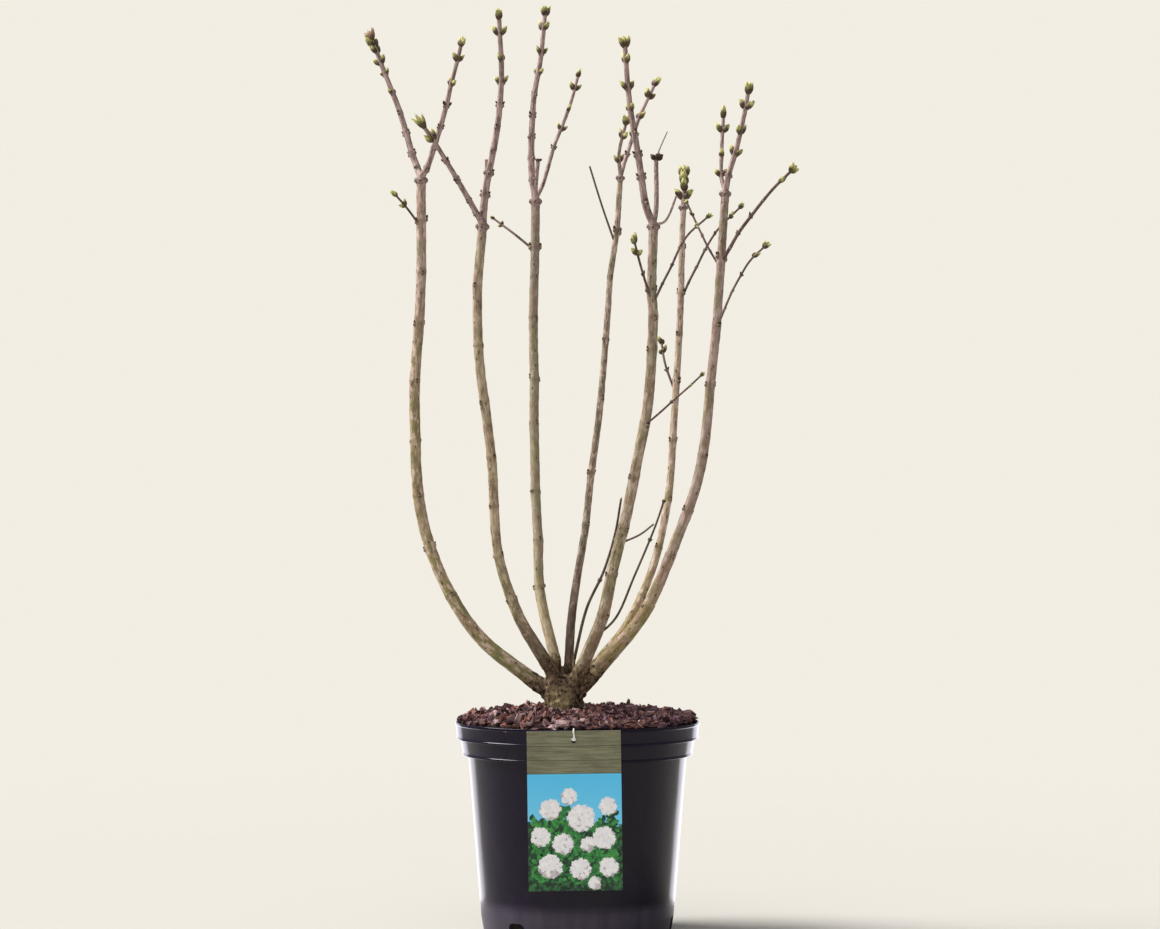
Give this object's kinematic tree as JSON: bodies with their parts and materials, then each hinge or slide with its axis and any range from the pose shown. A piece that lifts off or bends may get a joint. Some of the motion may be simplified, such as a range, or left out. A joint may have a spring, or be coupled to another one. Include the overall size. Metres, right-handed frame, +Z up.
{
  "type": "potted lilac bush",
  "caption": "Bare winter lilac bush with upright stems, forked shoots and swelling buds, growing in a round black nursery pot with bark mulch and a hanging plant label.",
  "frame": {"origin": "centre of the pot's underside, on the surface it stands on", "axes": "+Z up, -Y towards the front with the plant label, +X to the viewer's right"},
  "size_m": [0.4947, 0.3586, 1.0779],
  "materials": {
    "glossy_pot": "glossy black blow-moulded plastic",
    "moist_compost": "dark moist compost",
    "bark_chips": "reddish-brown shredded bark",
    "printed_card": "printed plastic card with a satin face",
    "white_tie": "white flexible plastic",
    "old_bark": "rough dark brown bark",
    "stem_bark": "olive-tan bark, smooth with small pores",
    "young_shoots": "mauve-brown young bark with yellow-green buds",
    "dead_bark": "dry grey-brown dead twig"
  },
  "bodies": {
    "root": {"pot": "glossy_pot", "potting_soil": "moist_compost", "bark_mulch": "bark_chips", "plant_label": "printed_card", "label_tie": "white_tie", "trunk": "old_bark", "stem_1_lower": "stem_bark", "stem_1_upper": "stem_bark", "stem_1_top": "young_shoots", "stem_1_side_twig": "young_shoots", "stem_2_lower": "stem_bark", "stem_2_upper": "stem_bark", "stem_2_top": "young_shoots", "stem_3_lower": "stem_bark", "stem_3_upper": "stem_bark", "stem_3_top": "young_shoots", "stem_3_side_twig": "young_shoots", "stem_4_lower": "stem_bark", "stem_4_upper": "stem_bark", "stem_4_top": "young_shoots", "stem_4_dead_twig": "dead_bark", "stem_5_lower": "stem_bark", "stem_5_upper": "stem_bark", "stem_5_top": "young_shoots", "stem_5_left_twig": "young_shoots", "stem_5_right_twig": "young_shoots", "stem_5_low_twig": "young_shoots", "stem_5_whip": "young_shoots", "stem_5_strut": "dead_bark", "stem_6_lower": "stem_bark", "stem_6_upper": "stem_bark", "stem_6_top": "young_shoots", "stem_6_left_twig": "young_shoots", "stem_6_right_twig": "young_shoots", "stem_7_lower": "stem_bark", "stem_7_upper": "stem_bark", "stem_7_top": "young_shoots", "stem_7_left_twig": "young_shoots", "stem_7_right_twig": "young_shoots", "stem_7_low_twig": "young_shoots", "trunk_whip": "young_shoots"}
  },
  "joints": []
}
